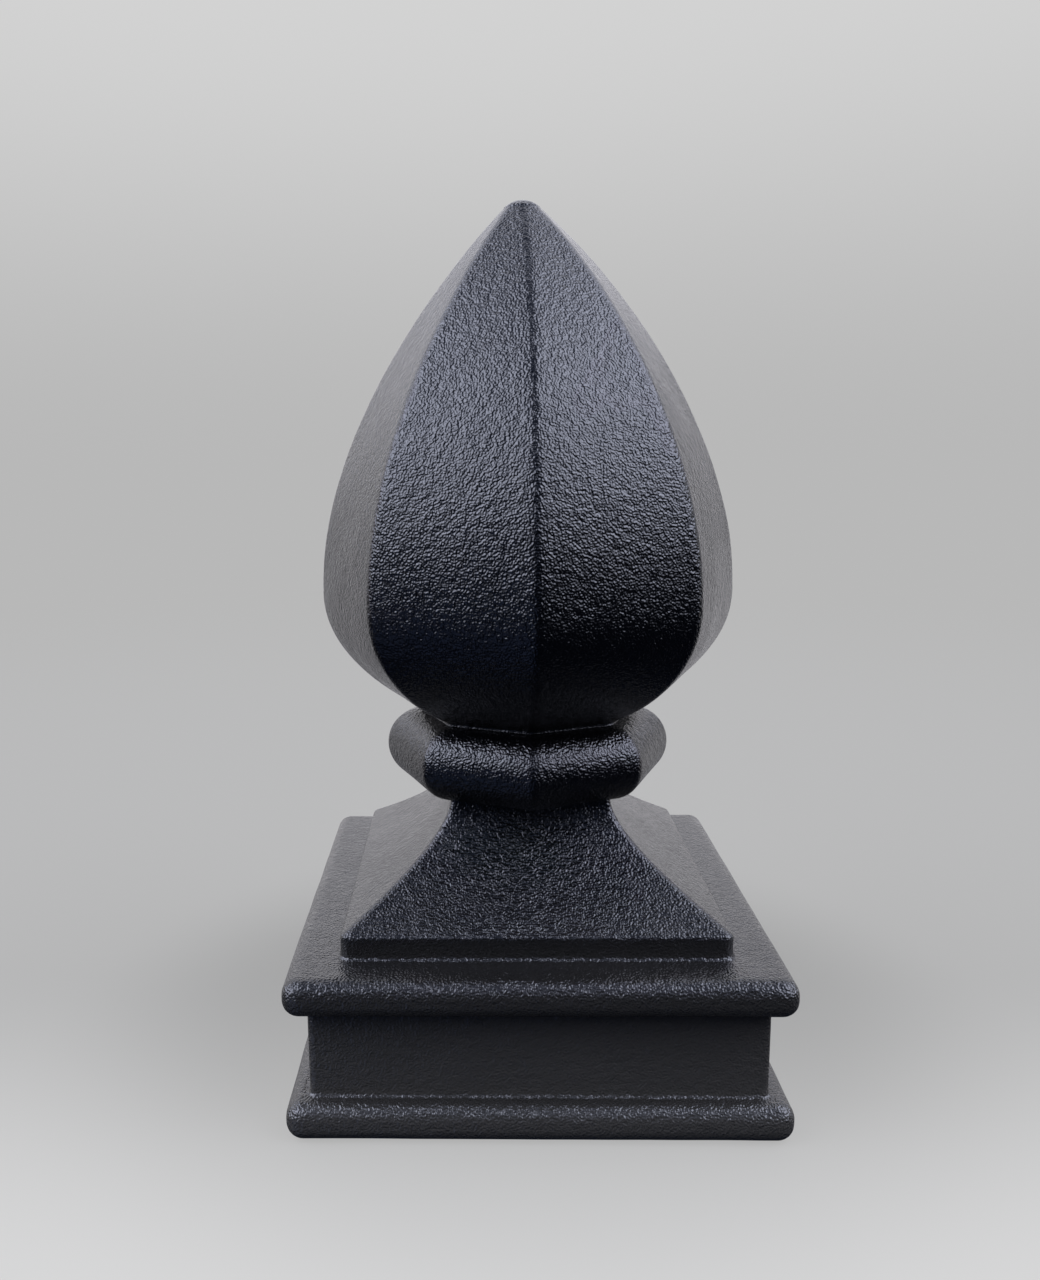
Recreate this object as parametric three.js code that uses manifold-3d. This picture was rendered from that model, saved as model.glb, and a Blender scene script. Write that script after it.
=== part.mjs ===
// A cast post cap: a square socket with two flanges, a flared neck, a bead and an eight-sided bud.
// Millimetres, +Z up, origin at the centre of the underside, sides of the square along X and Y.

import * as THREE from 'three';
import { mergeVertices } from 'three/addons/utils/BufferGeometryUtils.js';
import Module from 'manifold-3d';

// The square post that the cap slips over, and the socket that takes it
const POST_WIDTH = 101.6;
const POST_CLEARANCE = 0.8;
const SOCKET_CORNER = 1.5;

// Thickness of the casting: round the socket, and everywhere above the post
const BAND_WALL = 5.6;
const WALL = 5;

// The square base, from the underside up
const LOWER_FLANGE_THICKNESS = 9.8;
const LOWER_FLANGE_OVERHANG = 5.7;
const BAND_HEIGHT = 22.9;
const UPPER_FLANGE_THICKNESS = 9.7;
const UPPER_FLANGE_OVERHANG = 5.7;
const STEP_HEIGHT = 6.3;
const STEP_SETBACK = 7.7;

// Rounding of the base's edges in profile, and of its corners in plan
const FLANGE_LOWER_ROUND = 4.2;
const FLANGE_UPPER_ROUND = 4.2;
const FLANGE_CORNER = 4.5;
const BAND_CORNER = 1.8;
const FOOT_FILLET = 1;
const STEP_ROUND = 1.5;
const STEP_CORNER = 2.8;
const SMALLEST_CORNER = 0.8;

// The concave flare, from the step's edge up to the bead
const FLARE_HEIGHT = 26.6;
const FLARE_TOP_WIDTH = 43.3;
const FLARE_FOOT_ANGLE = 32;
const FLARE_FOOT_REACH = 12.3;
const FLARE_TOP_REACH = 9.3;
const FLARE_CORNER = 1.6;

// The bead and the neck; the radii run from the axis to a ridge's crest
const NECK_RADIUS = 30.5;
const NECK_HEIGHT = 0.58;
const NECK_FILLET = 0.18;
const BEAD_OVERHANG = 9.5;
const BEAD_ROUND = 10.2;
const RIDGE_ROUND = 3.5;

// The bud: its curve leaves the neck at a slope, passes its widest place and ends in a round tip
const BUD_RADIUS = 57.4;
const BUD_WIDEST_RISE = 32.93;
const BUD_POINT_RISE = 106.3;
const BUD_FOOT_ANGLE = 25.1;
const BUD_FOOT_REACH = 14.9;
const BUD_LOWER_REACH = 15;
const BUD_UPPER_REACH = 39.8;
const BUD_POINT_REACH = 36.3;
const BUD_POINT_ANGLE = 49.5;
const TIP_ROUND = 7.6;

// The hollow inside the neck and the bud
const BORE_SETBACK = 1.5;
const CORE_CORNER = 6;
const CORE_TIP_RADIUS = 4;

// How finely round stretches are divided
const ARC_STEP = 15;
const BEAD_STEP = 12;
const FLARE_STEPS = 12;
const BUD_LOWER_STEPS = 10;
const BUD_UPPER_STEPS = 22;
const CORE_SKIP = 2;
const CORNER_STEPS = 4;
const RIDGE_STEPS = 3;
const TIP_END_ANGLE = 85;
const ROUNDEST_RIDGE = 0.6;
const FULLEST_ROUND = 0.48;

// How far a cutter passes the face that it opens
const CUT_PAST = 5;

// The powder coat
const COAT = { color: 0x1b1b22, roughness: 0.5, metalness: 0 };

// Sizes that follow from the ones above
const socketHalf = POST_WIDTH / 2 + POST_CLEARANCE;
const bandHalf = socketHalf + BAND_WALL;
const stepHalf = bandHalf - STEP_SETBACK;
const seatHalf = stepHalf - WALL;
const flareTopHalf = FLARE_TOP_WIDTH / 2;
const boreRadius = flareTopHalf - WALL - BORE_SETBACK;
const bandFoot = LOWER_FLANGE_THICKNESS;
const bandTop = bandFoot + BAND_HEIGHT;
const upperFlangeTop = bandTop + UPPER_FLANGE_THICKNESS;
const seatHeight = upperFlangeTop - WALL;
const stepTop = upperFlangeTop + STEP_HEIGHT;
const flareTop = stepTop + FLARE_HEIGHT;
const beadCentre = new THREE.Vector2(NECK_RADIUS + BEAD_OVERHANG - BEAD_ROUND, flareTop + BEAD_ROUND);
const neckFoot = beadCentre.y + Math.sqrt(BEAD_ROUND ** 2 - (NECK_RADIUS - beadCentre.x) ** 2);
const budFoot = neckFoot + NECK_HEIGHT;

const radians = THREE.MathUtils.degToRad;

// A point at a distance and an angle from another
function pointAt(centre, distance, angle) {
  const turn = radians(angle);
  return new THREE.Vector2(centre.x + distance * Math.cos(turn), centre.y + distance * Math.sin(turn));
}

// Points along a round stretch of a profile
function arcPoints(centre, radius, startAngle, endAngle, step = ARC_STEP) {
  const count = Math.max(1, Math.ceil(Math.abs(endAngle - startAngle) / step));
  return Array.from({ length: count + 1 }, (_, index) => (
    pointAt(centre, radius, startAngle + ((endAngle - startAngle) * index) / count)
  ));
}

// One section of a body: a regular polygon with round corners, counter-clockwise from above
function sectionRing(sides, firstCorner, centreDistance, cornerRadius, cornerSteps, height) {
  const halfTurn = 180 / sides;
  const ring = [];
  for (let corner = 0; corner < sides; corner += 1) {
    const direction = firstCorner + corner * 2 * halfTurn;
    const centre = pointAt(new THREE.Vector2(), centreDistance, direction);
    for (let index = 0; index <= cornerSteps; index += 1) {
      const angle = direction - halfTurn + (2 * halfTurn * index) / cornerSteps;
      const point = pointAt(centre, cornerRadius, angle);
      ring.push(new THREE.Vector3(point.x, point.y, height));
    }
  }
  return ring;
}

// A square section, by the distance from the axis to its side
function squareRing(half, corner, height) {
  return sectionRing(4, 45, (half - corner) * Math.SQRT2, corner, CORNER_STEPS, height);
}

// An eight-sided section, by the distance from the axis to a ridge's crest
function octagonRing(crest, ridgeRound, ridgeSteps, height) {
  const ridge = Math.min(ridgeRound, crest * ROUNDEST_RIDGE);
  return sectionRing(8, 0, crest - ridge, ridge, ridgeSteps, height);
}

// A closed body through a stack of sections with as many points each
function loft(rings) {
  const count = rings[0].length;
  const positions = rings.flat().flatMap((point) => point.toArray());
  const last = (rings.length - 1) * count;
  const faces = [];
  for (let index = 1; index < count - 1; index += 1) {
    faces.push(0, index + 1, index);
    faces.push(last, last + index, last + index + 1);
  }
  for (let level = 0; level < rings.length - 1; level += 1) {
    for (let index = 0; index < count; index += 1) {
      const here = level * count + index;
      const beside = level * count + ((index + 1) % count);
      faces.push(here, beside, beside + count);
      faces.push(here, beside + count, here + count);
    }
  }
  const geometry = new THREE.BufferGeometry();
  geometry.setAttribute('position', new THREE.Float32BufferAttribute(positions, 3));
  geometry.setIndex(faces);
  return geometry;
}

// A square profile's points as sections, their corners following the rounded edge inwards
function squareStretch(points, outermost, corner) {
  return points.map(({ x, y }) => {
    const radius = Math.max(corner - (outermost - x), SMALLEST_CORNER);
    return squareRing(x, radius, y);
  });
}

// A flange with a rounded lower and upper edge; the upper one leaves room for the fillet at the band's foot
function flangeRings(overhang, bottom, thickness) {
  const half = bandHalf + overhang;
  const lowerRound = Math.min(FLANGE_LOWER_ROUND, thickness * FULLEST_ROUND);
  const upperRound = Math.min(FLANGE_UPPER_ROUND, thickness * FULLEST_ROUND, overhang - FOOT_FILLET);
  const lower = new THREE.Vector2(half - lowerRound, bottom + lowerRound);
  const upper = new THREE.Vector2(half - upperRound, bottom + thickness - upperRound);
  const edge = [...arcPoints(lower, lowerRound, -90, 0), ...arcPoints(upper, upperRound, 0, 90)];
  return squareStretch(edge, half, FLANGE_CORNER);
}

// The concave fillet where an upright face stands on a flat one
function footRings(half, height, corner) {
  const centre = new THREE.Vector2(half + FOOT_FILLET, height + FOOT_FILLET);
  return squareStretch(arcPoints(centre, FOOT_FILLET, -90, -180), half, corner);
}

// The step's round edge, which ends where the slope of the flare begins
function stepEdge() {
  const endAngle = 90 - FLARE_FOOT_ANGLE;
  const drop = STEP_ROUND * Math.sin(radians(endAngle));
  return arcPoints(new THREE.Vector2(stepHalf - STEP_ROUND, stepTop - drop), STEP_ROUND, 0, endAngle);
}

// The concave flare's profile, from the step's edge up to the bead
function flareProfile() {
  const foot = stepEdge().at(-1);
  const top = new THREE.Vector2(flareTopHalf, flareTop);
  const footHandle = pointAt(foot, FLARE_FOOT_REACH, 180 - FLARE_FOOT_ANGLE);
  const topHandle = pointAt(top, FLARE_TOP_REACH, -90);
  return new THREE.CubicBezierCurve(foot, footHandle, topHandle, top).getPoints(FLARE_STEPS);
}

// The square part's outside, from the underside up into the bead
function baseOutside() {
  const column = [...flareProfile().slice(1), new THREE.Vector2(flareTopHalf, beadCentre.y)];
  return loft([
    ...flangeRings(LOWER_FLANGE_OVERHANG, 0, LOWER_FLANGE_THICKNESS),
    ...footRings(bandHalf, bandFoot, BAND_CORNER),
    squareRing(bandHalf, BAND_CORNER, bandTop),
    ...flangeRings(UPPER_FLANGE_OVERHANG, bandTop, UPPER_FLANGE_THICKNESS),
    ...footRings(stepHalf, upperFlangeTop, STEP_CORNER),
    ...squareStretch(stepEdge(), stepHalf, STEP_CORNER),
    ...column.map(({ x, y }) => squareRing(x, FLARE_CORNER, y)),
  ]);
}

// The bead's round profile, up to the fillet at the neck's foot
function beadProfile(fillet) {
  const reach = NECK_RADIUS + fillet - beadCentre.x;
  const rise = Math.sqrt((BEAD_ROUND + fillet) ** 2 - reach ** 2);
  const contact = THREE.MathUtils.radToDeg(Math.atan2(rise, reach));
  const filletCentre = pointAt(beadCentre, BEAD_ROUND + fillet, contact);
  return [
    ...arcPoints(beadCentre, BEAD_ROUND, -90, contact, BEAD_STEP),
    ...arcPoints(filletCentre, fillet, contact + 180, 180).slice(1),
  ];
}

// The curve of the bud's underside, from its foot on the neck out to its widest place
function budLower(foot) {
  const widest = new THREE.Vector2(BUD_RADIUS, budFoot + BUD_WIDEST_RISE);
  const footHandle = pointAt(foot, BUD_FOOT_REACH, BUD_FOOT_ANGLE);
  const widestHandle = pointAt(widest, BUD_LOWER_REACH, -90);
  return new THREE.CubicBezierCurve(foot, footHandle, widestHandle, widest).getPoints(BUD_LOWER_STEPS);
}

// The curve of the bud's flank, from its widest place to the point where its sides would meet
function budUpper() {
  const widest = new THREE.Vector2(BUD_RADIUS, budFoot + BUD_WIDEST_RISE);
  const point = new THREE.Vector2(0, budFoot + BUD_WIDEST_RISE + BUD_POINT_RISE);
  const widestHandle = pointAt(widest, BUD_UPPER_REACH, 90);
  const pointHandle = pointAt(point, BUD_POINT_REACH, BUD_POINT_ANGLE - 90);
  return new THREE.CubicBezierCurve(widest, widestHandle, pointHandle, point).getPoints(BUD_UPPER_STEPS);
}

// The bud's flank with its point rounded off
function budFlank() {
  const flank = budUpper();
  const point = flank.at(-1);
  const tipCentre = new THREE.Vector2(0, point.y - TIP_ROUND / Math.sin(radians(BUD_POINT_ANGLE)));
  const tip = arcPoints(tipCentre, TIP_ROUND, BUD_POINT_ANGLE, TIP_END_ANGLE);
  return [...flank.filter(({ x }) => x > tip[0].x), ...tip];
}

// The eight-sided part's outside: bead, neck and bud
function budOutside() {
  const fillet = Math.min(NECK_FILLET, NECK_HEIGHT / 3);
  const slope = radians(BUD_FOOT_ANGLE);
  const drop = (fillet * (1 - Math.sin(slope))) / Math.cos(slope);
  const filletCentre = new THREE.Vector2(NECK_RADIUS + fillet, budFoot - drop);
  const neckTop = arcPoints(filletCentre, fillet, 180, 90 + BUD_FOOT_ANGLE);
  const profile = [
    ...beadProfile(fillet),
    ...neckTop,
    ...budLower(neckTop.at(-1)).slice(1),
    ...budFlank().slice(1),
  ];
  return loft(profile.map(({ x, y }) => octagonRing(x, RIDGE_ROUND, RIDGE_STEPS, y)));
}

// A profile moved inwards by the wall; a flat side stands nearer the axis than a ridge by sideShare
function insetProfile(points, sideShare) {
  return points.slice(1, -1).map((point, index) => {
    const along = points[index + 2].clone().sub(points[index]).normalize();
    const inwards = new THREE.Vector2(-along.y / sideShare, along.x);
    return point.clone().addScaledVector(inwards, WALL);
  });
}

// The hollow in the square part: the socket, and above the post's seat the inside of the flare
function baseHollow() {
  const socket = loft([-CUT_PAST, seatHeight].map((height) => squareRing(socketHalf, SOCKET_CORNER, height)));
  const flare = insetProfile(flareProfile(), 1).filter(({ x, y }) => x < seatHalf && y > seatHeight);
  const inside = [
    new THREE.Vector2(seatHalf, seatHeight - CUT_PAST),
    new THREE.Vector2(seatHalf, Math.max(flare[0].y - (seatHalf - flare[0].x), seatHeight)),
    ...flare,
  ];
  return [socket, loft(inside.map(({ x, y }) => squareRing(x, FLARE_CORNER, y)))];
}

// The hollow in the eight-sided part: a bore up through the neck, opening into the bud
function budHollow() {
  const sideShare = Math.cos(Math.PI / 8);
  const foot = new THREE.Vector2(NECK_RADIUS, budFoot);
  const outside = [...budLower(foot), ...budUpper().slice(1)].filter((_, index) => index % CORE_SKIP === 0);
  const inside = insetProfile(outside, sideShare).filter(({ x }) => x > CORE_TIP_RADIUS);
  const funnelFoot = inside[0].y - (inside[0].x - boreRadius) * Math.tan(radians(BUD_FOOT_ANGLE));
  const profile = [
    new THREE.Vector2(boreRadius, seatHeight),
    new THREE.Vector2(boreRadius, funnelFoot),
    ...inside,
  ];
  return loft(profile.map(({ x, y }) => octagonRing(x, CORE_CORNER, 1, y)));
}

const wasm = await Module();
wasm.setup();

// A closed geometry as a solid for joining and cutting
function solidOf(geometry) {
  const merged = mergeVertices(geometry);
  return new wasm.Manifold(new wasm.Mesh({
    numProp: 3,
    vertProperties: Float32Array.from(merged.attributes.position.array),
    triVerts: Uint32Array.from(merged.index.array),
  }));
}

// A solid as a geometry for a mesh
function geometryOf(solid) {
  const { vertProperties, triVerts } = solid.getMesh();
  const geometry = new THREE.BufferGeometry();
  geometry.setAttribute('position', new THREE.BufferAttribute(vertProperties, 3));
  geometry.setIndex(new THREE.BufferAttribute(triVerts, 1));
  geometry.computeVertexNormals();
  return geometry;
}

// The whole cap, one hollow casting
function capCasting() {
  const outside = solidOf(baseOutside()).add(solidOf(budOutside()));
  const hollows = [...baseHollow(), budHollow()];
  const casting = hollows.reduce((solid, hollow) => solid.subtract(solidOf(hollow)), outside);
  const mesh = new THREE.Mesh(geometryOf(casting), new THREE.MeshStandardMaterial(COAT));
  mesh.name = 'post_cap_casting';
  return mesh;
}

const group = new THREE.Group();
group.add(capCasting());

export default group;
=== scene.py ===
"""A cast cap for a square post under a textured black powder coat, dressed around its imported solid.

Metres, +Z up, the origin at the centre of the underside, the sides of the square along X and Y.
The cap is one hollow casting, so it is one piece: a dense skin in the solid's form.
"""

import logging
import math
from collections.abc import Iterable
from dataclasses import dataclass, field
from enum import Enum

import bpy
import numpy as np
from mathutils import Matrix, Vector, noise


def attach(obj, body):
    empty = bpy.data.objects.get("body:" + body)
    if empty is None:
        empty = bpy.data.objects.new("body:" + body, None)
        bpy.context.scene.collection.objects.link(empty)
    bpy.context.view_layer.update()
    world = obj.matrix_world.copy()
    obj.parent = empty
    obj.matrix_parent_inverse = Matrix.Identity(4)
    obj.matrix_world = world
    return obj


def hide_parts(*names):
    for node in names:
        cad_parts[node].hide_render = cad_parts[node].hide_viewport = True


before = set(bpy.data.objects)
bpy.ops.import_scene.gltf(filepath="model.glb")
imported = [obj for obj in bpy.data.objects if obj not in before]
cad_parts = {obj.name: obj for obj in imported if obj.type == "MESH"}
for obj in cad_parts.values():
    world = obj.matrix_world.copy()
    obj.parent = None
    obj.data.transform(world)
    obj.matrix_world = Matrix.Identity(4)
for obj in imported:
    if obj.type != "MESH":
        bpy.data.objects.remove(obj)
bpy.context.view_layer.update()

CAD_NODE = "post_cap_casting"
LOG = logging.getLogger("post_cap")


class Plan(Enum):
    """The plan of a section: its number of sides, and the direction of its first corner in degrees."""

    SQUARE = (4, 45.0)
    OCTAGON = (8, 0.0)


class Cut(Enum):
    """How one closed body changes another."""

    JOIN = "UNION"
    HOLLOW = "DIFFERENCE"


def point_at(centre: np.ndarray, distance: float, angle: float) -> np.ndarray:
    """Finds a point by its distance and direction from another.

    Args:
        centre: The point that is measured from.
        distance: How far away the new point lies.
        angle: Its direction in degrees, counter-clockwise from the first axis.

    Returns:
        The new point.
    """
    turn = math.radians(angle)
    return centre + distance * np.array([math.cos(turn), math.sin(turn)])


def arc(centre: np.ndarray, radius: float, start: float, end: float, step: float) -> np.ndarray:
    """Divides a round stretch of a profile.

    Args:
        centre: The centre of the arc.
        radius: Its radius.
        start: The direction of its first point in degrees.
        end: The direction of its last point in degrees.
        step: The widest angle between two points in degrees.

    Returns:
        The points along the arc, one a row.
    """
    count = max(1, math.ceil(abs(end - start) / step))
    return np.array([point_at(centre, radius, angle) for angle in np.linspace(start, end, count + 1)])


def bezier(
    start: np.ndarray, first: np.ndarray, second: np.ndarray, end: np.ndarray, steps: int
) -> np.ndarray:
    """Divides a cubic curve.

    Args:
        start: Its first point.
        first: The handle of the first point.
        second: The handle of the last point.
        end: Its last point.
        steps: How many steps it is divided into.

    Returns:
        The points along the curve, one a row.
    """
    t = np.linspace(0, 1, steps + 1)[:, None]
    rest = 1 - t
    return rest**3 * start + 3 * rest**2 * t * first + 3 * rest * t**2 * second + t**3 * end


def divided(rows: np.ndarray, longest: float) -> np.ndarray:
    """Adds rows until no two neighbours of a profile lie too far apart.

    Args:
        rows: The rows of a profile. The first two columns are a point.
        longest: The widest gap that may stay.

    Returns:
        The rows with the added ones in between.
    """
    made = [rows[:1]]
    for here, there in zip(rows, rows[1:]):
        count = max(1, math.ceil(math.dist(here[:2], there[:2]) / longest))
        shares = np.linspace(0, 1, count + 1)[1:, None]
        made.append(here + shares * (there - here))
    return np.vstack(made)


@dataclass(frozen=True)
class Divisions:
    """How the sections of a loft are divided.

    Attributes:
        plan: The shape of the sections.
        corner_steps: The steps round each corner.
        side_steps: The steps along each flat side.
    """

    plan: Plan
    corner_steps: int
    side_steps: int

    def ring(self, corner_distance: float, corner_radius: float, height: float) -> np.ndarray:
        """Makes one section, counter-clockwise from above.

        Args:
            corner_distance: From the axis to the centre of a corner's arc.
            corner_radius: The radius of that arc.
            height: The section's height.

        Returns:
            The points of the section, one a row.
        """
        sides, first = self.plan.value
        half_turn = math.pi / sides
        directions = math.radians(first) + 2 * half_turn * np.arange(sides)[:, None]
        angles = directions + np.linspace(-half_turn, half_turn, self.corner_steps + 1)
        x = corner_distance * np.cos(directions) + corner_radius * np.cos(angles)
        y = corner_distance * np.sin(directions) + corner_radius * np.sin(angles)
        corners = np.stack([x, y], axis=-1)
        leaving, arriving = corners[:, -1:], np.roll(corners[:, :1], -1, axis=0)
        shares = np.arange(1, self.side_steps)[None, :, None] / self.side_steps
        flats = leaving + shares * (arriving - leaving)
        flat_ring = np.concatenate([corners, flats], axis=1).reshape(-1, 2)
        return np.column_stack([flat_ring, np.full(len(flat_ring), height)])


def loft(name: str, rings: Iterable[np.ndarray]) -> bpy.types.Object:
    """Makes a closed body through a stack of sections, from the lowest up.

    Args:
        name: The name of the new object.
        rings: The sections, with as many points each.

    Returns:
        The object, linked to the scene.
    """
    stack = np.array(list(rings))
    levels, count = stack.shape[:2]
    level, index = np.meshgrid(np.arange(levels - 1), np.arange(count), indexing="ij")
    here = (level * count + index).ravel()
    beside = (level * count + (index + 1) % count).ravel()
    walls = np.column_stack([here, beside, beside + count, here + count]).tolist()
    floor = list(range(count - 1, -1, -1))
    roof = list(range((levels - 1) * count, levels * count))
    mesh = bpy.data.meshes.new(name)
    mesh.from_pydata(stack.reshape(-1, 3).tolist(), [], [*walls, floor, roof])
    body = bpy.data.objects.new(name, mesh)
    bpy.context.scene.collection.objects.link(body)
    return body


def combine(body: bpy.types.Object, tool: bpy.types.Object, cut: Cut) -> None:
    """Joins a closed body to another or cuts it away, and removes the body that was used up.

    Args:
        body: The body that is changed.
        tool: The body that is joined or cut away.
        cut: Which of the two is done.
    """
    modifier = body.modifiers.new(cut.name, "BOOLEAN")
    modifier.operation = cut.value
    modifier.solver = "EXACT"
    modifier.object = tool
    graph = bpy.context.evaluated_depsgraph_get()
    made = bpy.data.meshes.new_from_object(body.evaluated_get(graph))
    body.modifiers.clear()
    used = body.data
    body.data = made
    bpy.data.meshes.remove(used)
    bpy.data.objects.remove(tool)


@dataclass(frozen=True)
class SquareBase:
    """The square part: a socket band between two flanges, a step and a concave flare.

    Attributes:
        socket_half: From the axis to the side of the socket.
        socket_corner: The radius of the socket's corners.
        band_wall: The thickness of the band round the socket.
        wall: The thickness of the casting above the post.
    """

    socket_half: float = 0.0516
    socket_corner: float = 0.0015
    band_wall: float = 0.0056
    wall: float = 0.005
    lower_flange_thickness: float = 0.0098
    lower_flange_overhang: float = 0.0057
    band_height: float = 0.0229
    upper_flange_thickness: float = 0.0097
    upper_flange_overhang: float = 0.0057
    step_height: float = 0.0063
    step_setback: float = 0.0077
    flange_lower_round: float = 0.0042
    flange_upper_round: float = 0.0042
    flange_corner: float = 0.0045
    band_corner: float = 0.0018
    foot_fillet: float = 0.001
    step_round: float = 0.0015
    step_corner: float = 0.0028
    smallest_corner: float = 0.0008
    flare_height: float = 0.0266
    flare_top_half: float = 0.02165
    flare_foot_angle: float = 32.0
    flare_foot_reach: float = 0.0123
    flare_top_reach: float = 0.0093
    flare_corner: float = 0.0016
    column_rise: float = 0.0102
    arc_step: float = 9.0
    flare_steps: int = 40
    longest: float = 0.0014
    divisions: Divisions = Divisions(Plan.SQUARE, 6, 68)

    @property
    def band_half(self) -> float:
        """From the axis to the side of the band."""
        return self.socket_half + self.band_wall

    @property
    def step_half(self) -> float:
        """From the axis to the side of the step."""
        return self.band_half - self.step_setback

    @property
    def band_top(self) -> float:
        """The height of the upper flange's underside."""
        return self.lower_flange_thickness + self.band_height

    @property
    def flange_top(self) -> float:
        """The height of the upper flange's top."""
        return self.band_top + self.upper_flange_thickness

    @property
    def seat_height(self) -> float:
        """The height at which the socket ends on the post."""
        return self.flange_top - self.wall

    @property
    def step_top(self) -> float:
        """The height of the step."""
        return self.flange_top + self.step_height

    @property
    def flare_top(self) -> float:
        """The height at which the flare meets the bead."""
        return self.step_top + self.flare_height

    def rounded(self, points: np.ndarray, outermost: float, corner: float) -> np.ndarray:
        """Gives each point of a profile the corner radius of its section.

        Args:
            points: The profile, one point a row: half width and height.
            outermost: The half width at which the corner has its full radius.
            corner: That radius.

        Returns:
            Rows of half width, height and corner radius.
        """
        radii = np.maximum(corner - (outermost - points[:, 0]), self.smallest_corner)
        return np.column_stack([points, radii])

    def flange(self, half: float, bottom: float, thickness: float) -> np.ndarray:
        """Makes the rounded edge of a flange.

        Args:
            half: From the axis to the flange's side.
            bottom: The height of its underside.
            thickness: Its thickness.

        Returns:
            Rows of half width, height and corner radius.
        """
        low, high = self.flange_lower_round, self.flange_upper_round
        lower = np.array([half - low, bottom + low])
        upper = np.array([half - high, bottom + thickness - high])
        edge = [arc(lower, low, -90, 0, self.arc_step), arc(upper, high, 0, 90, self.arc_step)]
        return self.rounded(np.vstack(edge), half, self.flange_corner)

    def foot(self, half: float, height: float, corner: float) -> np.ndarray:
        """Makes the concave fillet where an upright face stands on a flat one.

        Args:
            half: From the axis to the upright face.
            height: The height of the flat face.
            corner: The corner radius of the upright face.

        Returns:
            Rows of half width, height and corner radius.
        """
        centre = np.array([half + self.foot_fillet, height + self.foot_fillet])
        return self.rounded(arc(centre, self.foot_fillet, -90, -180, self.arc_step), half, corner)

    def step_edge(self) -> np.ndarray:
        """The step's round edge, which ends where the slope of the flare begins."""
        end = 90 - self.flare_foot_angle
        drop = self.step_round * math.sin(math.radians(end))
        centre = np.array([self.step_half - self.step_round, self.step_top - drop])
        return arc(centre, self.step_round, 0, end, self.arc_step)

    def flare(self, steps: int) -> np.ndarray:
        """Makes the concave slope from the step's edge up to the bead.

        Args:
            steps: How many steps it is divided into.

        Returns:
            The points of the slope: half width and height.
        """
        foot = self.step_edge()[-1]
        top = np.array([self.flare_top_half, self.flare_top])
        foot_handle = point_at(foot, self.flare_foot_reach, 180 - self.flare_foot_angle)
        top_handle = point_at(top, self.flare_top_reach, -90)
        return bezier(foot, foot_handle, top_handle, top, steps)

    def outside(self) -> bpy.types.Object:
        """Builds the closed outer form, from the underside up into the bead.

        Returns:
            The body as an object.
        """
        column = np.array([[self.flare_top_half, self.flare_top + self.column_rise]])
        slope = np.vstack([self.flare(self.flare_steps)[1:], column])
        band_end = np.array([[self.band_half, self.band_top, self.band_corner]])
        lower_half = self.band_half + self.lower_flange_overhang
        upper_half = self.band_half + self.upper_flange_overhang
        rows = np.vstack([
            self.flange(lower_half, 0, self.lower_flange_thickness),
            self.foot(self.band_half, self.lower_flange_thickness, self.band_corner),
            band_end,
            self.flange(upper_half, self.band_top, self.upper_flange_thickness),
            self.foot(self.step_half, self.flange_top, self.step_corner),
            self.rounded(self.step_edge(), self.step_half, self.step_corner),
            np.column_stack([slope, np.full(len(slope), self.flare_corner)]),
        ])
        rows = divided(rows, self.longest)
        return loft("base_outside", [self.ring(half, corner, height) for half, height, corner in rows])

    def ring(self, half: float, corner: float, height: float) -> np.ndarray:
        """Makes a square section from the distance of its sides.

        Args:
            half: From the axis to a side.
            corner: The radius of the corners.
            height: The section's height.

        Returns:
            The points of the section.
        """
        return self.divisions.ring((half - corner) * math.sqrt(2), corner, height)


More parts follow.
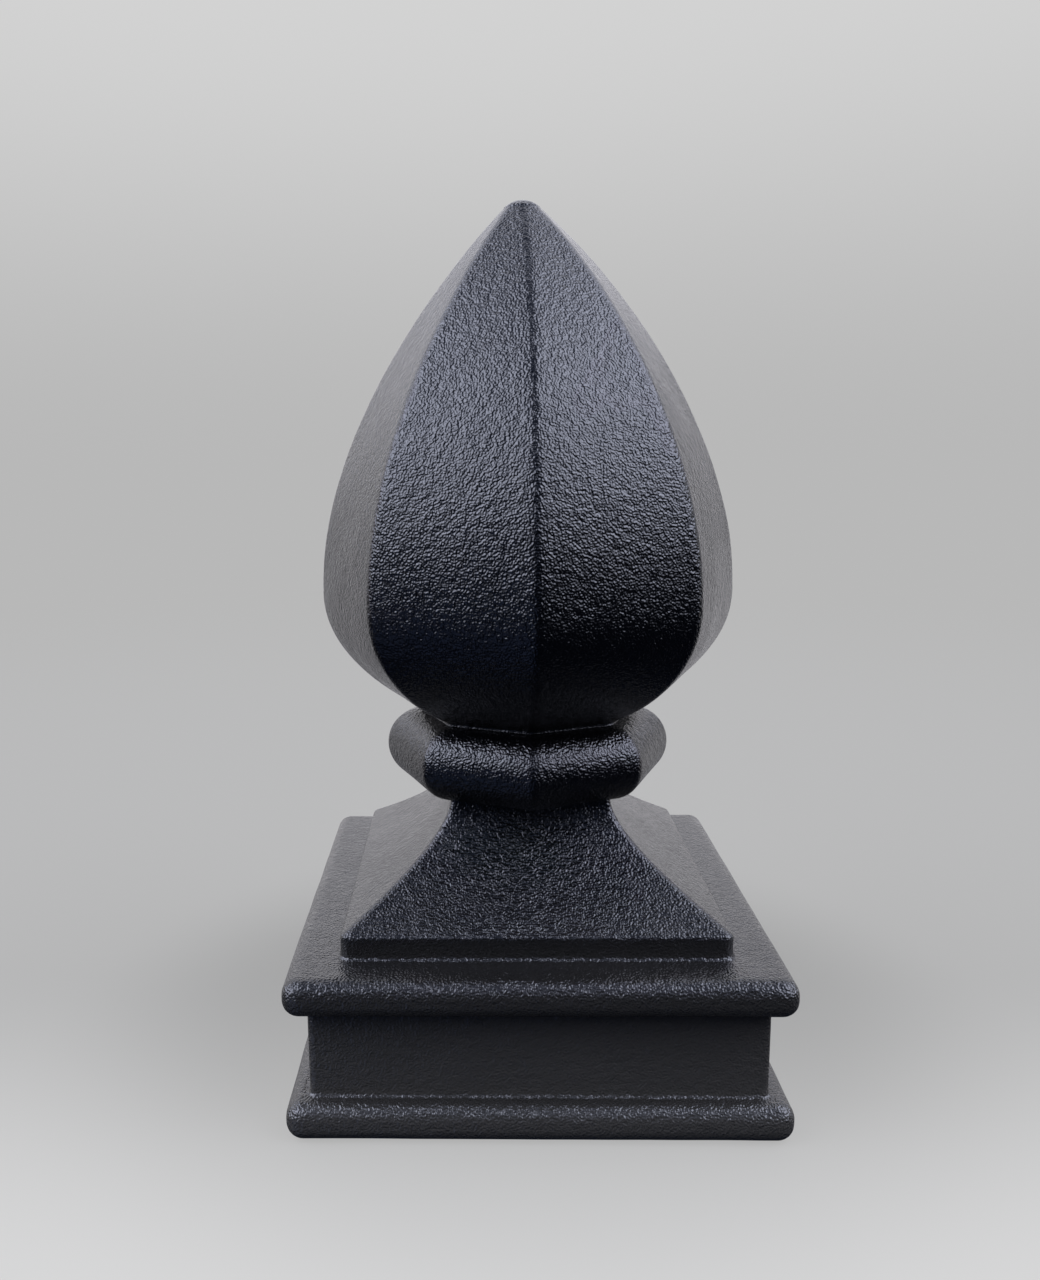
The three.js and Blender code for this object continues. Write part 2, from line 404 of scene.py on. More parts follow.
@dataclass(frozen=True)
class EightSidedTop:
    """The eight-sided part: a round bead, a narrow neck and the pointed bud.

    Its radii run from the axis to a ridge's crest.

    Attributes:
        foot_height: The height of the bead's foot.
        lean: How far the cast tip strays to the left.
        lean_above: From the bud's foot to the height from which it strays.
    """

    foot_height: float
    neck_radius: float = 0.0305
    neck_height: float = 0.00058
    neck_fillet: float = 0.00018
    bead_overhang: float = 0.0095
    bead_round: float = 0.0102
    ridge_round: float = 0.0035
    roundest_ridge: float = 0.6
    bud_radius: float = 0.0574
    bud_widest_rise: float = 0.03293
    bud_point_rise: float = 0.1063
    bud_foot_angle: float = 25.1
    bud_foot_reach: float = 0.0149
    bud_lower_reach: float = 0.015
    bud_upper_reach: float = 0.0398
    bud_point_reach: float = 0.0363
    bud_point_angle: float = 49.5
    tip_round: float = 0.0076
    tip_end_angle: float = 85.0
    lean: float = 0.0014
    lean_above: float = 0.098
    arc_step: float = 6.0
    lower_steps: int = 34
    upper_steps: int = 96
    longest: float = 0.0015
    divisions: Divisions = Divisions(Plan.OCTAGON, 6, 22)

    @property
    def bead_centre(self) -> np.ndarray:
        """The centre of the bead's round profile."""
        across = self.neck_radius + self.bead_overhang - self.bead_round
        return np.array([across, self.foot_height + self.bead_round])

    @property
    def neck_foot(self) -> float:
        """The height at which the neck leaves the bead."""
        across, height = self.bead_centre
        return height + math.sqrt(self.bead_round**2 - (self.neck_radius - across) ** 2)

    @property
    def bud_foot(self) -> float:
        """The height at which the bud leaves the neck."""
        return self.neck_foot + self.neck_height

    @property
    def widest(self) -> np.ndarray:
        """The ridge's crest at the bud's widest place."""
        return np.array([self.bud_radius, self.bud_foot + self.bud_widest_rise])

    def bead(self) -> np.ndarray:
        """The bead's round profile, up to the fillet at the neck's foot."""
        across, height = self.bead_centre
        reach = self.neck_radius + self.neck_fillet - across
        rise = math.sqrt((self.bead_round + self.neck_fillet) ** 2 - reach**2)
        contact = math.degrees(math.atan2(rise, reach))
        centre = point_at(self.bead_centre, self.bead_round + self.neck_fillet, contact)
        return np.vstack([
            arc(self.bead_centre, self.bead_round, -90, contact, self.arc_step),
            arc(centre, self.neck_fillet, contact + 180, 180, 2 * self.arc_step)[1:],
        ])

    def neck_top(self) -> np.ndarray:
        """The fillet from the neck into the bud's underside."""
        slope = math.radians(self.bud_foot_angle)
        drop = self.neck_fillet * (1 - math.sin(slope)) / math.cos(slope)
        centre = np.array([self.neck_radius + self.neck_fillet, self.bud_foot - drop])
        return arc(centre, self.neck_fillet, 180, 90 + self.bud_foot_angle, 2 * self.arc_step)

    def bud_lower(self, foot: np.ndarray, steps: int) -> np.ndarray:
        """Makes the curve of the bud's underside.

        Args:
            foot: Where it leaves the neck.
            steps: How many steps it is divided into.

        Returns:
            The points out to the bud's widest place.
        """
        foot_handle = point_at(foot, self.bud_foot_reach, self.bud_foot_angle)
        widest_handle = point_at(self.widest, self.bud_lower_reach, -90)
        return bezier(foot, foot_handle, widest_handle, self.widest, steps)

    def bud_upper(self, steps: int) -> np.ndarray:
        """Makes the curve of the bud's flank.

        Args:
            steps: How many steps it is divided into.

        Returns:
            The points from the widest place to where the sides would meet.
        """
        point = np.array([0, self.widest[1] + self.bud_point_rise])
        widest_handle = point_at(self.widest, self.bud_upper_reach, 90)
        point_handle = point_at(point, self.bud_point_reach, self.bud_point_angle - 90)
        return bezier(self.widest, widest_handle, point_handle, point, steps)

    def flank(self) -> np.ndarray:
        """The bud's flank with its point rounded off."""
        flank = self.bud_upper(self.upper_steps)
        drop = self.tip_round / math.sin(math.radians(self.bud_point_angle))
        centre = np.array([0, flank[-1, 1] - drop])
        tip = arc(centre, self.tip_round, self.bud_point_angle, self.tip_end_angle, self.arc_step)
        return np.vstack([flank[flank[:, 0] > tip[0, 0]], tip])

    def outside(self) -> bpy.types.Object:
        """Builds the closed outer form of bead, neck and bud.

        Returns:
            The body as an object.
        """
        neck_top = self.neck_top()
        profile = np.vstack([
            self.bead(),
            neck_top,
            self.bud_lower(neck_top[-1], self.lower_steps)[1:],
            self.flank()[1:],
        ])
        profile = divided(profile, self.longest)
        return loft("bud_outside", [self.ring(crest, height) for crest, height in profile])

    def ring(self, crest: float, height: float) -> np.ndarray:
        """Makes an eight-sided section with softened ridges.

        Args:
            crest: From the axis to a ridge's crest.
            height: The section's height.

        Returns:
            The points of the section.
        """
        ridge = min(self.ridge_round, crest * self.roundest_ridge)
        section = self.divisions.ring(crest - ridge, ridge, height)
        top = self.widest[1] + self.bud_point_rise
        bottom = self.bud_foot + self.lean_above
        section[:, 0] -= self.lean * max(0.0, (height - bottom) / (top - bottom)) ** 2
        return section


@dataclass(frozen=True)
class Core:
    """The space inside the casting: the post's socket, the flare's inside, and a bore up into the bud.

    Attributes:
        base: The square part that it hollows.
        top: The eight-sided part that it hollows.
        bore_setback: How much thicker than the wall the neck's wall is.
        tip_radius: The radius at which the space in the bud ends.
        cut_past: How far it passes a face that it opens.
    """

    base: SquareBase
    top: EightSidedTop
    bore_setback: float = 0.0015
    core_corner: float = 0.006
    tip_radius: float = 0.004
    cut_past: float = 0.005
    flare_steps: int = 24
    bud_steps: int = 22
    square: Divisions = Divisions(Plan.SQUARE, 4, 8)
    octagon: Divisions = Divisions(Plan.OCTAGON, 2, 4)

    @property
    def seat_half(self) -> float:
        """Half the width of the space over the post."""
        return self.base.step_half - self.base.wall

    @property
    def bore_radius(self) -> float:
        """The radius of the bore through the neck."""
        return self.base.flare_top_half - self.base.wall - self.bore_setback

    def inset(self, points: np.ndarray, side_share: float) -> np.ndarray:
        """Moves a profile inwards by the wall.

        Args:
            points: The outer profile.
            side_share: How much nearer the axis a flat side stands than a ridge.

        Returns:
            The inner profile, without the first and last points.
        """
        along = points[2:] - points[:-2]
        along = along / np.linalg.norm(along, axis=1, keepdims=True)
        inwards = np.column_stack([-along[:, 1] / side_share, along[:, 0]])
        return points[1:-1] + self.base.wall * inwards

    def square_ring(self, half: float, corner: float, height: float) -> np.ndarray:
        """A square section of the core."""
        return self.square.ring((half - corner) * math.sqrt(2), corner, height)

    def socket(self) -> bpy.types.Object:
        """The socket that the post's end goes into."""
        half, corner = self.base.socket_half, self.base.socket_corner
        heights = (-self.cut_past, self.base.seat_height)
        return loft("socket", [self.square_ring(half, corner, height) for height in heights])

    def flare_space(self) -> bpy.types.Object:
        """Builds the space inside the flare, above the post's seat.

        Returns:
            The body as an object.
        """
        inner = self.inset(self.base.flare(self.flare_steps), 1)
        inner = inner[(inner[:, 0] < self.seat_half) & (inner[:, 1] > self.base.seat_height)]
        shoulder = max(inner[0, 1] - (self.seat_half - inner[0, 0]), self.base.seat_height)
        foot = np.array([
            [self.seat_half, self.base.seat_height - self.cut_past],
            [self.seat_half, shoulder],
        ])
        profile = np.vstack([foot, inner])
        return loft("flare_space", [self.square_ring(x, self.base.flare_corner, y) for x, y in profile])

    def bud_space(self) -> bpy.types.Object:
        """Builds the bore through the neck and the space inside the bud.

        Returns:
            The body as an object.
        """
        foot = np.array([self.top.neck_radius, self.top.bud_foot])
        lower = self.top.bud_lower(foot, self.bud_steps)
        outer = np.vstack([lower, self.top.bud_upper(2 * self.bud_steps)[1:]])
        sides, _ = Plan.OCTAGON.value
        inner = self.inset(outer, math.cos(math.pi / sides))
        inner = inner[inner[:, 0] > self.tip_radius]
        slope = math.tan(math.radians(self.top.bud_foot_angle))
        funnel_foot = inner[0, 1] - (inner[0, 0] - self.bore_radius) * slope
        bore = np.array([
            [self.bore_radius, self.base.seat_height],
            [self.bore_radius, funnel_foot],
        ])
        profile = np.vstack([bore, inner])
        corner = self.core_corner
        return loft("bud_space", [self.octagon.ring(x - corner, corner, y) for x, y in profile])


class ShaderGraph:
    """Adds nodes to a material's or a group's tree and joins them."""

    def __init__(self, tree: bpy.types.NodeTree) -> None:
        """Keeps the tree that the nodes go into."""
        self.tree = tree

    def add(self, kind: str, settings: dict | None = None, values: dict | None = None) -> bpy.types.Node:
        """Adds a node, sets its properties and input values, and joins the inputs that are given as sockets.

        Args:
            kind: The node's type name.
            settings: Its properties by name.
            values: Its inputs by name or number, each a plain value or an output socket.

        Returns:
            The new node.
        """
        node = self.tree.nodes.new(kind)
        for name, value in (settings or {}).items():
            setattr(node, name, value)
        for name, value in (values or {}).items():
            if isinstance(value, bpy.types.NodeSocket):
                self.tree.links.new(value, node.inputs[name])
            else:
                node.inputs[name].default_value = value
        return node

    def math(self, operation: str, first: object, second: object = 0.0) -> bpy.types.NodeSocket:
        """Adds a sum of one or two terms.

        Args:
            operation: The name of the sum.
            first: A value or a socket.
            second: A value or a socket.

        Returns:
            The socket with its result.
        """
        return self.add("ShaderNodeMath", {"operation": operation}, {0: first, 1: second}).outputs[0]

    def mix(self, share: object, first: object, second: object) -> bpy.types.NodeSocket:
        """Adds a passage from one colour to another.

        Args:
            share: How much of the second colour it gives, from 0 to 1.
            first: A colour or a socket.
            second: A colour or a socket.

        Returns:
            The socket with the colour.
        """
        return self.add("ShaderNodeMix", {"data_type": "RGBA"}, {0: share, 6: first, 7: second}).outputs[2]

    def ramp(
        self, value: object, given: tuple[object, object], wanted: tuple[float, float]
    ) -> bpy.types.NodeSocket:
        """Adds a smooth passage from one value to another.

        Args:
            value: A value or a socket.
            given: The values or sockets between which the passage lies.
            wanted: What it gives at and past them.

        Returns:
            The socket with its result.
        """
        return self.add("ShaderNodeMapRange", {"interpolation_type": "SMOOTHSTEP"}, {
            "Value": value,
            "From Min": given[0],
            "From Max": given[1],
            "To Min": wanted[0],
            "To Max": wanted[1],
        }).outputs[0]


class EffectGroup:
    """A shader node group, built once and placed in each material with its own values."""

    name: str = ""
    inputs: dict[str, tuple[str, float]] = {}
    outputs: tuple[str, ...] = ()

    def tree(self) -> bpy.types.NodeTree:
        """Gives the group, which is built when it is first asked for.

        Returns:
            The node group.
        """
        found = bpy.data.node_groups.get(self.name)
        if found:
            return found
        made = bpy.data.node_groups.new(self.name, "ShaderNodeTree")
        for name, (kind, value) in self.inputs.items():
            socket = made.interface.new_socket(name, in_out="INPUT", socket_type=kind)
            if kind == "NodeSocketFloat":
                socket.default_value = value
        for name in self.outputs:
            made.interface.new_socket(name, in_out="OUTPUT", socket_type="NodeSocketFloat")
        self.fill(ShaderGraph(made))
        return made

    def fill(self, graph: ShaderGraph) -> None:
        """Adds the group's own nodes."""
        raise NotImplementedError

    def place(self, graph: ShaderGraph, values: dict) -> bpy.types.Node:
        """Places the group in a material.

        Args:
            graph: The material's nodes.
            values: The group's inputs by name.

        Returns:
            The group's node.
        """
        return graph.add("ShaderNodeGroup", {"node_tree": self.tree()}, values)


class Grain(EffectGroup):
    """The relief of a textured coat: fine bumps on a softer swell, as heights in metres."""

    name = "coat_grain"
    inputs = {
        "Position": ("NodeSocketVector", 0.0),
        "Bump Spacing": ("NodeSocketFloat", 0.0013),
        "Bump Height": ("NodeSocketFloat", 0.00006),
        "Swell Spacing": ("NodeSocketFloat", 0.005),
        "Swell Height": ("NodeSocketFloat", 0.00005),
    }
    outputs = ("Height",)

    def fill(self, graph: ShaderGraph) -> None:
        """Adds two noises and their weighted sum."""
        given = graph.add("NodeGroupInput").outputs
        fine_scale = graph.math("DIVIDE", 1.0, given["Bump Spacing"])
        swell_scale = graph.math("DIVIDE", 1.0, given["Swell Spacing"])
        position = given["Position"]
        fine = graph.add("ShaderNodeTexNoise", None, {
            "Vector": position, "Scale": fine_scale, "Detail": 0.0,
        }).outputs[0]
        swell = graph.add("ShaderNodeTexNoise", None, {
            "Vector": position, "Scale": swell_scale, "Detail": 0.0,
        }).outputs[0]
        fine_height = graph.math("MULTIPLY", fine, given["Bump Height"])
        swell_height = graph.math("MULTIPLY", swell, given["Swell Height"])
        height = graph.math("ADD", fine_height, swell_height)
        graph.add("NodeGroupOutput", None, {"Height": height})


class Patches(EffectGroup):
    """Soft patches that vary a finish from place to place, from 0 to 1."""

    name = "soft_patches"
    inputs = {
        "Position": ("NodeSocketVector", 0.0),
        "Patch Size": ("NodeSocketFloat", 0.02),
    }
    outputs = ("Patch",)
    octaves = 2.0
    octave_share = 0.55
    usual_range = (0.3, 0.7)

    def fill(self, graph: ShaderGraph) -> None:
        """Adds one broad noise, stretched to its full range."""
        given = graph.add("NodeGroupInput").outputs
        scale = graph.math("DIVIDE", 1.0, given["Patch Size"])
        broad = graph.add("ShaderNodeTexNoise", None, {
            "Vector": given["Position"],
            "Scale": scale,
            "Detail": self.octaves,
            "Roughness": self.octave_share,
        }).outputs[0]
        stretched = graph.add("ShaderNodeMapRange", None, {
            "Value": broad, "From Min": self.usual_range[0], "From Max": self.usual_range[1],
        }).outputs[0]
        graph.add("NodeGroupOutput", None, {"Patch": stretched})


class PaintedLight(EffectGroup):
    """The share of a painted pale light round the foot, which thins out with height and spares faces that
    look up, from 1 to 0.
    """

    name = "painted_foot_light"
    inputs = {
        "Position": ("NodeSocketVector", 0.0),
        "Normal": ("NodeSocketVector", 0.0),
        "Low": ("NodeSocketFloat", 0.012),
        "High": ("NodeSocketFloat", 0.055),
        "Upward Loss": ("NodeSocketFloat", 0.6),
    }
    outputs = ("PaintedLight",)

    def fill(self, graph: ShaderGraph) -> None:
        """Adds a passage over the height and weakens it by how far a face looks up."""
        given = graph.add("NodeGroupInput").outputs
        height = graph.add("ShaderNodeSeparateXYZ", None, {0: given["Position"]}).outputs["Z"]
        facing = graph.add("ShaderNodeSeparateXYZ", None, {0: given["Normal"]}).outputs["Z"]
        share = graph.ramp(height, (given["Low"], given["High"]), (1.0, 0.0))
        loss = graph.math("MULTIPLY", graph.math("MAXIMUM", facing, 0.0), given["Upward Loss"])
        kept = graph.math("SUBTRACT", 1.0, loss)
        graph.add("NodeGroupOutput", None, {"PaintedLight": graph.math("MULTIPLY", share, kept)})


@dataclass(frozen=True)
class CoatFinish:
    """A powder coat on cast metal, with a painted pale light mixed into its colour round the foot.

    Attributes:
        name: The material's name.
        cool: Its colour in one kind of patch.
        warm: Its colour in the other.
        gloss: The lowest and highest roughness.
        specular: The strength of its shine.
        bump_spacing: From one bump of the texture to the next.
        bump_height: The height of the bumps.
        swell_spacing: From one swell under the bumps to the next.
        swell_height: The height of the swells.
        patch_size: The size of the patches.
        painted_light: The colour of the painted pale light round the foot.
        painted_light_reach: The heights at which the painted light starts to thin out and ends.
        painted_light_loss: How much of the painted light a face that looks up lacks.
    """

    name: str
    cool: tuple[float, float, float]
    warm: tuple[float, float, float]
    gloss: tuple[float, float]
    specular: float
    bump_spacing: float
    bump_height: float
    swell_spacing: float
    swell_height: float
    patch_size: float
    painted_light: tuple[float, float, float]
    painted_light_reach: tuple[float, float] = (0.012, 0.063)
    painted_light_loss: float = 0.6

    def material(self) -> bpy.types.Material:
        """Builds the material.

        Returns:
            The material.
        """
        made = bpy.data.materials.new(self.name)
        made.use_nodes = True
        made.node_tree.nodes.clear()
        graph = ShaderGraph(made.node_tree)
        places = graph.add("ShaderNodeTexCoord").outputs
        position = places["Object"]
        grain = Grain().place(graph, {
            "Position": position,
            "Bump Spacing": self.bump_spacing,
            "Bump Height": self.bump_height,
            "Swell Spacing": self.swell_spacing,
            "Swell Height": self.swell_height,
        })
        patch = Patches().place(graph, {"Position": position, "Patch Size": self.patch_size}).outputs["Patch"]
        # Painted light: a pale glow round the foot that thins out with height.
        painted_light = PaintedLight().place(graph, {
            "Position": position,
            "Normal": places["Normal"],
            "Low": self.painted_light_reach[0],
            "High": self.painted_light_reach[1],
            "Upward Loss": self.painted_light_loss,
        }).outputs["PaintedLight"]
        own_colour = graph.mix(patch, (*self.cool, 1.0), (*self.warm, 1.0))
        # Mixes the painted pale light round the foot into the coat's own colour.
        colour = graph.mix(painted_light, own_colour, (*self.painted_light, 1.0))
        roughness = graph.add("ShaderNodeMapRange", None, {
            "Value": patch, "To Min": self.gloss[0], "To Max": self.gloss[1],
        }).outputs[0]
        relief = graph.add("ShaderNodeBump", None, {
            "Strength": 1.0, "Distance": 1.0, "Height": grain.outputs["Height"],
        }).outputs[0]
        shader = graph.add("ShaderNodeBsdfPrincipled", None, {
            "Base Color": colour,
            "Roughness": roughness,
            "Normal": relief,
            "Specular IOR Level": self.specular,
        })
        graph.add("ShaderNodeOutputMaterial", None, {"Surface": shader.outputs[0]})
        return made


OUTSIDE_COAT = CoatFinish(
    name="black_textured_powder_coat",
    cool=(0.0008, 0.0009, 0.0013),
    warm=(0.0012, 0.0010, 0.0012),
    gloss=(0.18, 0.25),
    specular=0.5,
    bump_spacing=0.00055,
    bump_height=0.00027,
    swell_spacing=0.0018,
    swell_height=0.0002,
    patch_size=0.022,
    # The colour of the painted pale light round the foot.
    painted_light=(0.042, 0.039, 0.033),
)
INSIDE_COAT = CoatFinish(
    name="thin_coat_in_the_hollow",
    cool=(0.014, 0.014, 0.016),
    warm=(0.024, 0.023, 0.022),
    gloss=(0.55, 0.75),
    specular=0.4,
    bump_spacing=0.0019,
    bump_height=0.00035,
    swell_spacing=0.009,
    swell_height=0.0004,
    patch_size=0.03,
    # The colour of the painted pale light round the foot.
    painted_light=(0.042, 0.039, 0.033),
)


@dataclass(frozen=True)
class Unevenness:
    """The slight waviness of a cast face: one noise, which only takes material away.

    Attributes:
        spacing: From one wave to the next.
        depth: The deepest hollow.
        flat_below: The height under which the foot stays flat.
    """

    spacing: float = 0.014
    depth: float = 0.00022
    flat_below: float = 0.0012

    def press(self, mesh: bpy.types.Mesh) -> None:
        """Presses the waves into a mesh.

        Args:
            mesh: The mesh that is changed.
        """
        count = len(mesh.vertices)
        places = np.zeros(count * 3)
        normals = np.zeros(count * 3)
        mesh.vertices.foreach_get("co", places)
        mesh.vertex_normals.foreach_get("vector", normals)
        places, normals = places.reshape(-1, 3), normals.reshape(-1, 3)
        waves = np.array([noise.noise(Vector(place) / self.spacing) for place in places])
        share = np.clip(places[:, 2] / self.flat_below, 0, 1)
        depths = self.depth * share * (0.5 - 0.5 * waves)
        mesh.vertices.foreach_set("co", (places - normals * depths[:, None]).ravel())
        mesh.update()


@dataclass
class PostCap:
    """The whole cap, one hollow casting.

    Attributes:
        base: The square part.
        sharp_angle: The angle in degrees from which two faces keep an edge between them.
        unevenness: The waviness of its faces.
    """

    base: SquareBase = field(default_factory=SquareBase)
    sharp_angle: float = 38.0
    unevenness: Unevenness = Unevenness()
    name: str = "post_cap"

    def build(self) -> bpy.types.Object:
        """Joins the outer forms, hollows them, finishes the faces and dresses the piece.

        Returns:
            The cap.
        """
        top = EightSidedTop(foot_height=self.base.flare_top)
        core = Core(self.base, top)
        outside, inside = OUTSIDE_COAT.material(), INSIDE_COAT.material()
        cap = self.base.outside()
        cap.name = self.name
        bud = top.outside()
        for body in (cap, bud):
            body.data.materials.append(outside)
        combine(cap, bud, Cut.JOIN)
        for space in (core.socket(), core.flare_space(), core.bud_space()):
            space.data.materials.append(inside)
            combine(cap, space, Cut.HOLLOW)
        cap.data.name = self.name
        self.unevenness.press(cap.data)
        cap.data.polygons.foreach_set("use_smooth", np.ones(len(cap.data.polygons), bool))
        cap.data.set_sharp_from_angle(angle=math.radians(self.sharp_angle))
        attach(cap, "root")
        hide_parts(CAD_NODE)
        return cap


@dataclass(frozen=True)
class Viewpoint:
    """The camera at the photograph's viewing angle.

    Attributes:
        eye: Where it stands.
        pitch: How far it looks down, in degrees.
        yaw: How far it turns to the left, in degrees.
        roll: How far it leans, in degrees.
        lens: Its focal length in millimetres.
        shift: How far the picture's centre lies from the lens's axis.
        nearest: From where on it sees.
    """

    eye: tuple[float, float, float] = (-0.01426, -0.30601, 0.17011)
    pitch: float = 10.126
    yaw: float = 1.834
    roll: float = -0.868
    lens: float = 30.83
    shift: tuple[float, float] = (0.0611, -0.0006)
    nearest: float = 0.01

    def build(self) -> bpy.types.Object:
        """Makes the scene's camera.

        Returns:
            The camera.
        """
        data = bpy.data.cameras.new("camera")
        data.lens = self.lens
        data.shift_x, data.shift_y = self.shift
        data.clip_start = self.nearest
        camera = bpy.data.objects.new("camera", data)
        turn = Matrix.Rotation(math.radians(self.yaw), 4, "Z")
        tilt = Matrix.Rotation(math.radians(90 - self.pitch), 4, "X")
        lean = Matrix.Rotation(math.radians(self.roll), 4, "Z")
        camera.matrix_world = Matrix.Translation(self.eye) @ turn @ tilt @ lean
        bpy.context.scene.collection.objects.link(camera)
        bpy.context.scene.camera = camera
        return camera


@dataclass(frozen=True)
class Lamp:
    """A broad soft lamp far away, brightest in its middle and fading smoothly outwards.

    Attributes:
        azimuth: Its direction from the cap in degrees, 0 towards the camera and 90 to the right.
        elevation: Its height above the horizon in degrees.
        glow: The light of its middle.
        narrowness: How fast the light fades away from the middle.
    """

    azimuth: float
    elevation: float
    glow: float
    narrowness: float

    def light(self, graph: ShaderGraph, direction: bpy.types.NodeSocket) -> bpy.types.NodeSocket:
        """Works out the lamp's light in each direction.

        Args:
            graph: The nodes that it is added to.
            direction: The direction that is looked in.

        Returns:
            The socket with the light.
        """
        azimuth, elevation = math.radians(self.azimuth), math.radians(self.elevation)
        middle = (
            math.sin(azimuth) * math.cos(elevation),
            -math.cos(azimuth) * math.cos(elevation),
            math.sin(elevation),
        )
        dot = graph.add("ShaderNodeVectorMath", {"operation": "DOT_PRODUCT"}, {0: direction, 1: middle})
        share = graph.math("POWER", graph.math("MAXIMUM", dot.outputs["Value"], 0.0), self.narrowness)
        return graph.math("MULTIPLY", share, self.glow)


@dataclass(frozen=True)
class Room:
    """The room that lights the cap: two soft lamps at the sides, a pale back and a dim blue above.

    Attributes:
        lamps: The soft lamps.
        lamp_colour: The colour of their light.
        middle_share: The share of their light that is left midway between them.
        middle_reach: Where it starts to rise and where it is full, as the direction's share along X.
        lamp_rise: Where it starts and where it is full, as the direction's share along +Z.
        low_lamp: A faint light from below, in the sky's colour.
        sky_colour: The colour of the light from above and ahead.
        sky: Its lowest and highest strength.
        sky_rise: The heights at which it has them, as the direction's share along +Z.
        back_colour: The colour of the light from behind.
        back: Its lowest and highest strength.
        back_rise: The heights at which it has them, as the direction's share along +Z.
        back_reach: Where it starts and where it is full, as the direction's share along +Y.
        shades: Places where something takes a share of the light from behind.
    """

    lamps: tuple[Lamp, ...] = (Lamp(-77.0, 39.0, 9.2, 9.0), Lamp(79.0, 42.0, 8.9, 9.5))
    lamp_colour: tuple[float, float, float] = (0.78, 0.82, 1.0)
    middle_share: float = 0.12
    middle_reach: tuple[float, float] = (0.0, 0.65)
    lamp_rise: tuple[float, float] = (-0.12, 0.24)
    low_lamp: Lamp = Lamp(-48.0, -26.0, 0.5, 18.0)
    sky_colour: tuple[float, float, float] = (0.38, 0.52, 1.0)
    sky: tuple[float, float] = (0.03, 0.34)
    sky_rise: tuple[float, float] = (0.1, 0.75)
    back_colour: tuple[float, float, float] = (0.98, 0.96, 0.99)
    back: tuple[float, float] = (0.0, 1.33)
    back_rise: tuple[float, float] = (-0.65, 0.15)
    back_reach: tuple[float, float] = (0.0, 0.8)
    shades: tuple[Lamp, ...] = (Lamp(-142.0, -1.0, 0.54, 38.0), Lamp(136.0, 8.5, 0.85, 22.0))

    def build(self) -> None:
        """Makes the surrounding light, worked out from its direction alone."""
        world = bpy.data.worlds.new("room")
        world.use_nodes = True
        world.node_tree.nodes.clear()
        graph = ShaderGraph(world.node_tree)
        direction = graph.add("ShaderNodeTexCoord").outputs["Generated"]
        parts = graph.add("ShaderNodeSeparateXYZ", None, {0: direction}).outputs
        first, second = (lamp.light(graph, direction) for lamp in self.lamps)
        aside = graph.ramp(graph.math("ABSOLUTE", parts["X"]), self.middle_reach, (self.middle_share, 1.0))
        kept = graph.math("MULTIPLY", aside, graph.ramp(parts["Z"], self.lamp_rise, (0.0, 1.0)))
        above = graph.ramp(parts["Z"], self.sky_rise, self.sky)
        height = graph.ramp(parts["Z"], self.back_rise, self.back)
        back = graph.math("MULTIPLY", graph.ramp(parts["Y"], self.back_reach, (0.0, 1.0)), height)
        for shade in self.shades:
            left = graph.math("SUBTRACT", 1.0, shade.light(graph, direction))
            back = graph.math("MULTIPLY", back, left)
        lights = (
            (self.lamp_colour, graph.math("MULTIPLY", graph.math("ADD", first, second), kept)),
            (self.sky_colour, graph.math("ADD", above, self.low_lamp.light(graph, direction))),
            (self.back_colour, back),
        )
        glows = [
            graph.add("ShaderNodeBackground", None, {"Color": (*colour, 1.0), "Strength": light}).outputs[0]
            for colour, light in lights
        ]
        total = glows[0]
        for glow in glows[1:]:
            total = graph.add("ShaderNodeAddShader", None, {0: total, 1: glow}).outputs[0]
        graph.add("ShaderNodeOutputWorld", None, {"Surface": total})
        bpy.context.scene.world = world


def turned(name: str, profile: np.ndarray, steps: int) -> bpy.types.Object:
    """Turns a profile round the upright axis into an open sheet with a flat middle.

    Args:
        name: The name of the new object.
        profile: The points from the middle outwards, one a row: radius and height.
        steps: How many steps the turn is divided into.

    Returns:
        The object, linked to the scene as a part of the stage.
    """
    angles = np.linspace(0, 2 * math.pi, steps, endpoint=False)
    points = [(r * math.cos(a), r * math.sin(a), z) for r, z in profile for a in angles]
    faces = [list(range(steps))]
    for level in range(len(profile) - 1):
        for index in range(steps):
            here, beside = level * steps + index, level * steps + (index + 1) % steps
            faces.append([here, here + steps, beside + steps, beside])
    mesh = bpy.data.meshes.new(name)
    mesh.from_pydata(points, [], faces)
    mesh.polygons.foreach_set("use_smooth", np.ones(len(mesh.polygons), bool))
    sheet = bpy.data.objects.new(name, mesh)
    bpy.context.scene.collection.objects.link(sheet)
    return sheet


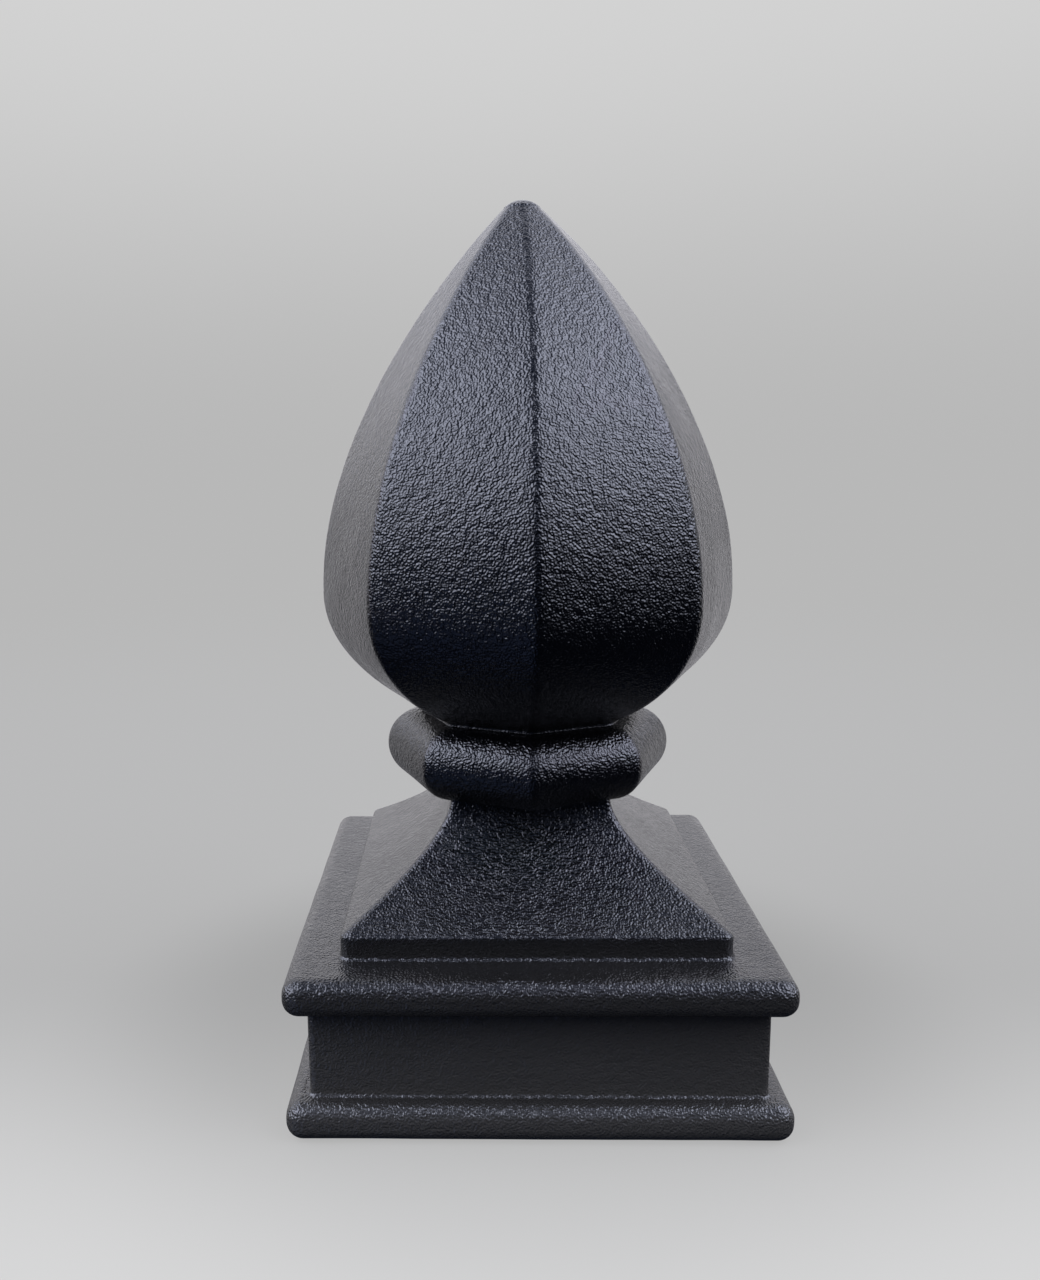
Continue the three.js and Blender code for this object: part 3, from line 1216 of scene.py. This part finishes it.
@dataclass(frozen=True)
class Sweep:
    """A plain pale floor that rises into a wall all round. It is seen by the camera alone.

    Attributes:
        floor_radius: Where the floor starts to rise.
        rise_radius: The radius of the rise.
        rise_step: The widest angle between two of its rings, in degrees.
        wall_height: The height of the wall above it.
        turn_steps: The steps round the upright axis.
        paint: How much of the light that falls beside the cap comes back.
        paint_reach: How far from the axis it does so fully, and where it ends.
        floor_glow: The even light of the floor beside the cap and further out.
        glow_reach: How far from the axis it has them.
        front_glow: The light that the floor gains towards the camera, as far as the paint reaches.
        front_reach: Where along +Y it starts and where it is full.
        contact_shade: The light that the floor lacks right beside the cap.
        shade_reach: How far from the axis the shade is full, and where it ends.
        wall_glow: The light that the wall adds at a height.
        glow_rise: The heights from which and at which it does.
    """

    floor_radius: float = 1.6
    rise_radius: float = 1.2
    rise_step: float = 10.0
    wall_height: float = 3.0
    turn_steps: int = 96
    paint: tuple[float, float, float] = (0.066, 0.063, 0.053)
    paint_reach: tuple[float, float] = (0.25, 1.0)
    floor_glow: tuple[float, float] = (0.37, 0.48)
    glow_reach: tuple[float, float] = (0.25, 1.0)
    front_glow: float = 0.2
    front_reach: tuple[float, float] = (0.03, -0.13)
    contact_shade: float = 0.06
    shade_reach: tuple[float, float] = (0.08, 0.15)
    wall_glow: float = 0.17
    glow_rise: tuple[float, float] = (0.1, 1.4)

    def build(self) -> bpy.types.Object:
        """Makes the floor and the wall in one.

        Returns:
            The object.
        """
        centre = np.array([self.floor_radius, self.rise_radius])
        profile = np.vstack([
            arc(centre, self.rise_radius, -90, 0, self.rise_step),
            [[self.floor_radius + self.rise_radius, self.rise_radius + self.wall_height]],
        ])
        sweep = turned("sweep", profile, self.turn_steps)
        sweep.data.materials.append(self.paper())
        sweep.visible_glossy = sweep.visible_diffuse = sweep.visible_shadow = False
        return sweep

    def paper(self) -> bpy.types.Material:
        """The matt pale finish of the floor, with an even light of its own.

        Returns:
            The material.
        """
        made = bpy.data.materials.new("pale_paper")
        made.use_nodes = True
        made.node_tree.nodes.clear()
        graph = ShaderGraph(made.node_tree)
        position = graph.add("ShaderNodeTexCoord").outputs["Object"]
        parts = graph.add("ShaderNodeSeparateXYZ", None, {0: position}).outputs
        reach = graph.add("ShaderNodeVectorMath", {"operation": "LENGTH"}, {0: position}).outputs["Value"]
        share = graph.ramp(reach, self.paint_reach, (1.0, 0.0))
        paint = graph.add("ShaderNodeVectorMath", {"operation": "SCALE"}, {0: self.paint, "Scale": share})
        matt = graph.add("ShaderNodeBsdfDiffuse", None, {"Color": paint.outputs[0]}).outputs[0]
        floor = graph.ramp(reach, self.glow_reach, self.floor_glow)
        ahead = graph.ramp(parts["Y"], self.front_reach, (0.0, self.front_glow))
        front = graph.math("MULTIPLY", ahead, share)
        wall = graph.ramp(parts["Z"], self.glow_rise, (0.0, self.wall_glow))
        shade = graph.ramp(reach, self.shade_reach, (self.contact_shade, 0.0))
        lit = graph.math("ADD", graph.math("ADD", floor, front), wall)
        strength = graph.math("SUBTRACT", lit, shade)
        glow = graph.add("ShaderNodeEmission", None, {"Strength": strength}).outputs[0]
        both = graph.add("ShaderNodeAddShader", None, {0: matt, 1: glow}).outputs[0]
        graph.add("ShaderNodeOutputMaterial", None, {"Surface": both})
        return made


class Studio:
    """The floor and the room."""

    def build(self) -> None:
        """Makes the floor and all the light."""
        Sweep().build()
        Room().build()
        bpy.context.scene.view_settings.view_transform = "Standard"


def main() -> None:
    """Builds the cap and the studio, and reports each piece."""
    logging.basicConfig(level=logging.INFO, format="%(name)s: %(message)s")
    cap = PostCap().build()
    LOG.info("%s: %d faces, %d triangles", cap.name, len(cap.data.polygons), len(cap.data.loop_triangles))
    Studio().build()
    Viewpoint().build()


if __name__ == "__main__":
    main()
